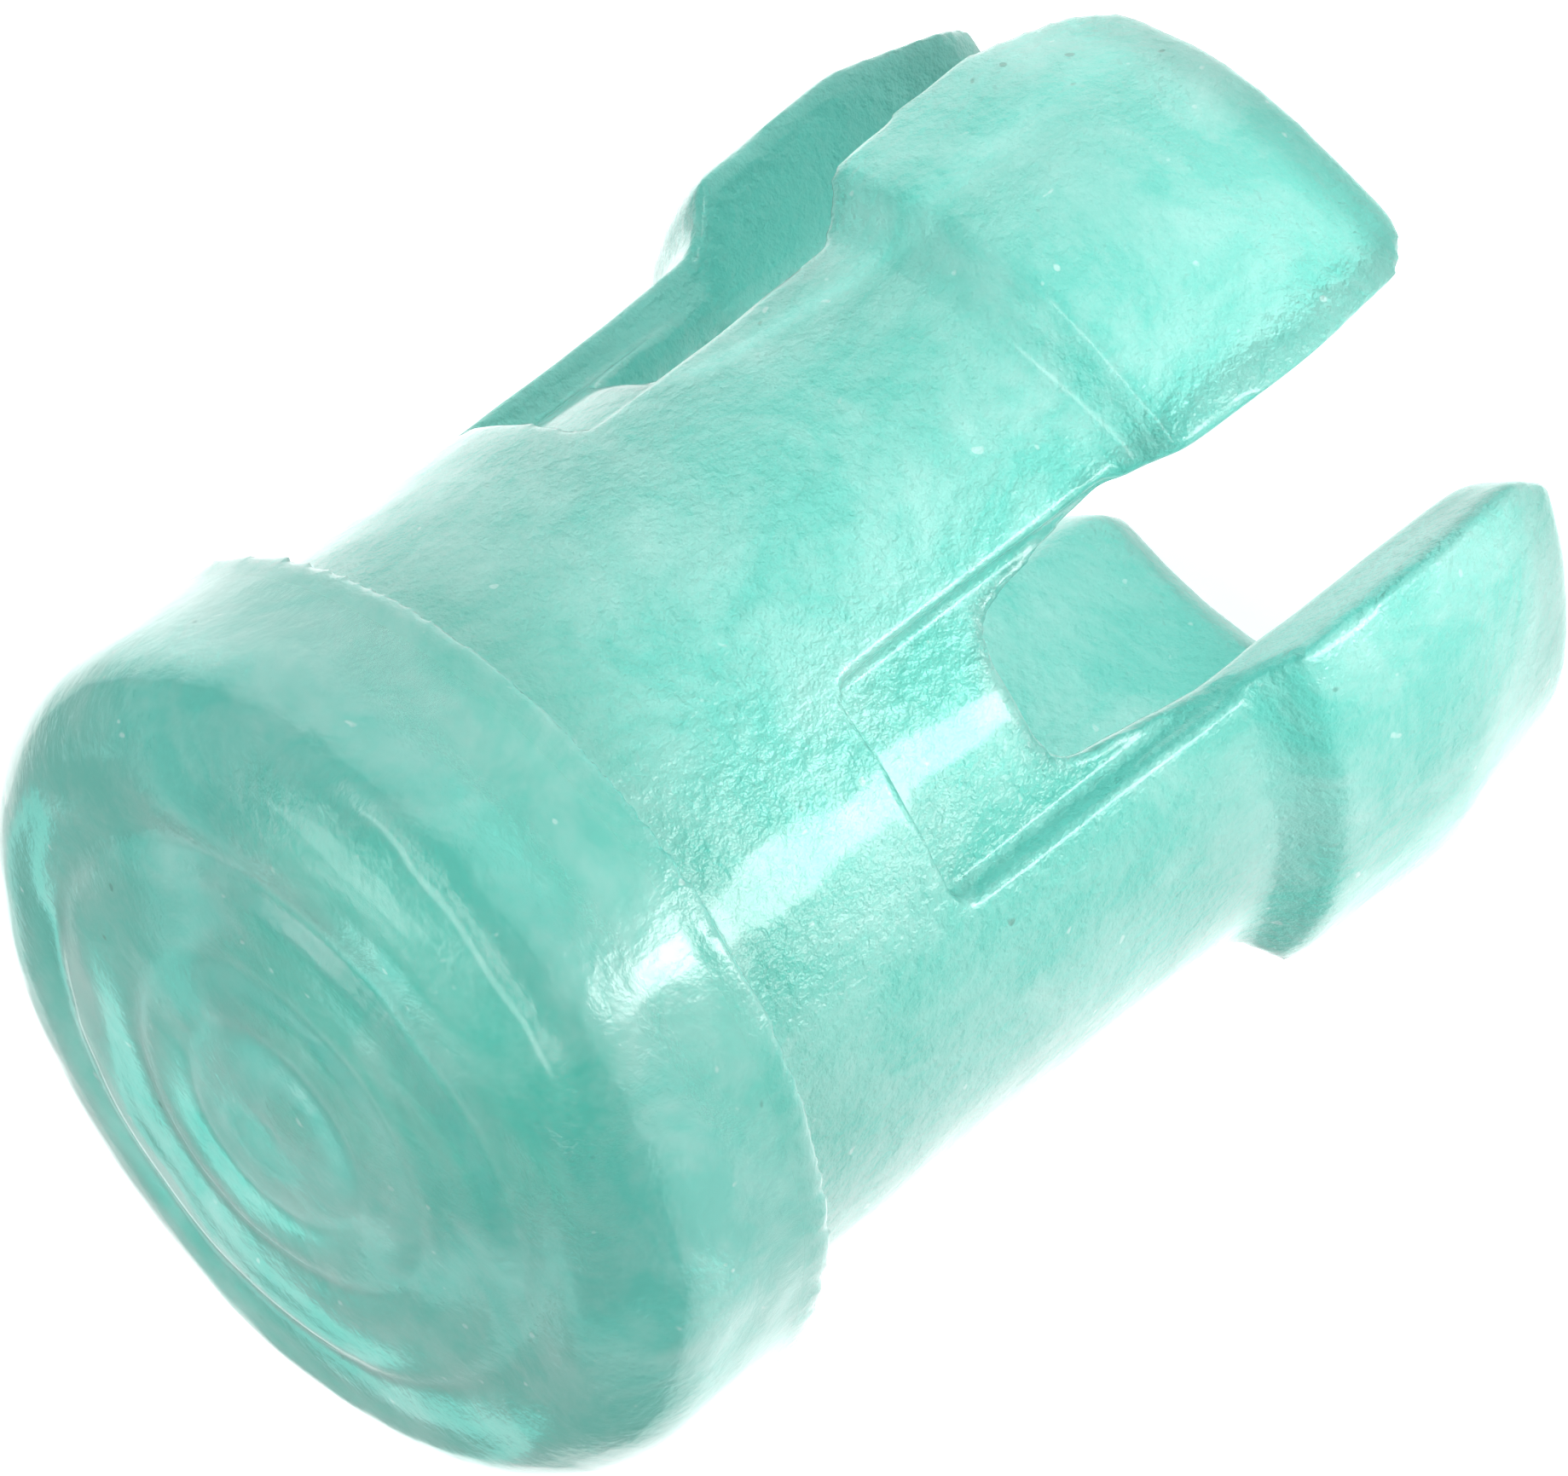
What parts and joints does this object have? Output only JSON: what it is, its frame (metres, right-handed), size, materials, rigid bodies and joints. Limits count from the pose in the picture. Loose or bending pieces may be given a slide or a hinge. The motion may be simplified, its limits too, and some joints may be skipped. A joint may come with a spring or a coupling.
{
  "type": "panel lens cap",
  "caption": "Round clear-tinted lens cap that snaps into a panel hole with barbed fingers and holds a small lamp behind its domed face.",
  "frame": {"origin": "on the barrel's axis, in the underside of the head, which is the plane of the panel's face", "axes": "+Z along the barrel's axis, out of the lens face; X and Y along the two crossed slots"},
  "size_m": [0.0072, 0.0072, 0.0101],
  "materials": {
    "clear_aqua_plastic": "gloss"
  },
  "bodies": {
    "cap": {"lens_head": "clear_aqua_plastic", "barrel": "clear_aqua_plastic"},
    "finger_1": {"snap_finger_1": "clear_aqua_plastic"},
    "finger_2": {"snap_finger_2": "clear_aqua_plastic"},
    "finger_3": {"snap_finger_3": "clear_aqua_plastic"},
    "finger_4": {"snap_finger_4": "clear_aqua_plastic"}
  },
  "joints": [
    {"name": "finger_flex_1", "type": "hinge", "parent": "cap", "child": "finger_1", "pos_m": [0.00188, 0.00188, -0.00385], "axis": [-0.7071, 0.7071, 0], "range_deg": [-4, 15.5], "stiffness_Nm_per_rad": 0.08},
    {"name": "finger_flex_2", "type": "hinge", "parent": "cap", "child": "finger_2", "pos_m": [-0.00188, 0.00188, -0.00385], "axis": [-0.7071, -0.7071, 0], "range_deg": [-4, 15.5], "stiffness_Nm_per_rad": 0.08},
    {"name": "finger_flex_3", "type": "hinge", "parent": "cap", "child": "finger_3", "pos_m": [-0.00188, -0.00188, -0.00385], "axis": [0.7071, -0.7071, 0], "range_deg": [-4, 15.5], "stiffness_Nm_per_rad": 0.08},
    {"name": "finger_flex_4", "type": "hinge", "parent": "cap", "child": "finger_4", "pos_m": [0.00188, -0.00188, -0.00385], "axis": [0.7071, 0.7071, 0], "range_deg": [-4, 15.5], "stiffness_Nm_per_rad": 0.08}
  ]
}
